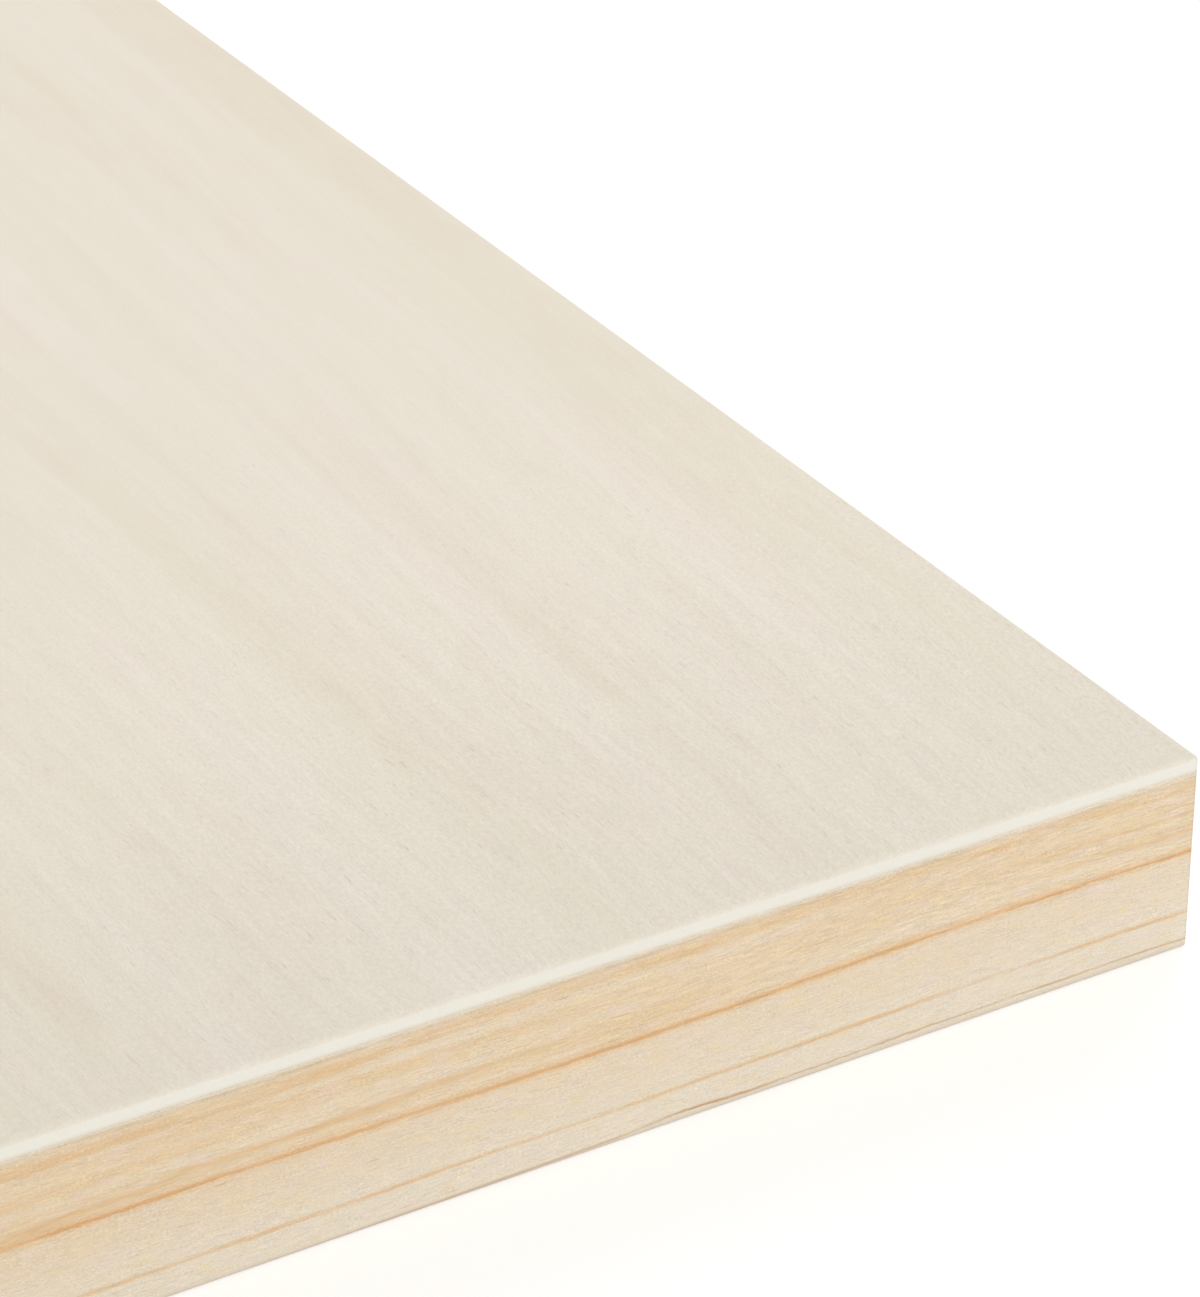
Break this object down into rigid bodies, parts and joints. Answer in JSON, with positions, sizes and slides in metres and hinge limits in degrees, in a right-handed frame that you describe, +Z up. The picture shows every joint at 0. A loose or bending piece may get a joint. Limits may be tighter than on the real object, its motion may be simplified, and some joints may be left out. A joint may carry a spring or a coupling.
{
  "type": "plywood sheet",
  "caption": "Flat lumber-core plywood sheet: pale face ply over a thick softwood core of edge-glued staves, with a thin back ply.",
  "frame": {"origin": "centre of the underside of the sheet", "axes": "+Y along the length of the sheet and the grain of the face ply, +X across it along the staves of the core, +Z up out of the good face"},
  "size_m": [0.3, 0.6, 0.018],
  "materials": {
    "face_veneer": "matte",
    "core_softwood": "matte",
    "back_veneer": "matte"
  },
  "bodies": {
    "root": {"back_ply": "back_veneer", "core_stave_01": "core_softwood", "core_stave_02": "core_softwood", "core_stave_03": "core_softwood", "core_stave_04": "core_softwood", "core_stave_05": "core_softwood", "core_stave_06": "core_softwood", "core_stave_07": "core_softwood", "core_stave_08": "core_softwood", "core_stave_09": "core_softwood", "core_stave_10": "core_softwood", "core_stave_11": "core_softwood", "core_stave_12": "core_softwood", "core_stave_13": "core_softwood", "core_stave_14": "core_softwood", "core_stave_15": "core_softwood", "core_stave_16": "core_softwood", "core_stave_17": "core_softwood", "core_stave_18": "core_softwood", "core_stave_19": "core_softwood", "core_stave_20": "core_softwood", "core_stave_21": "core_softwood", "core_stave_22": "core_softwood", "face_ply": "face_veneer"}
  },
  "joints": []
}
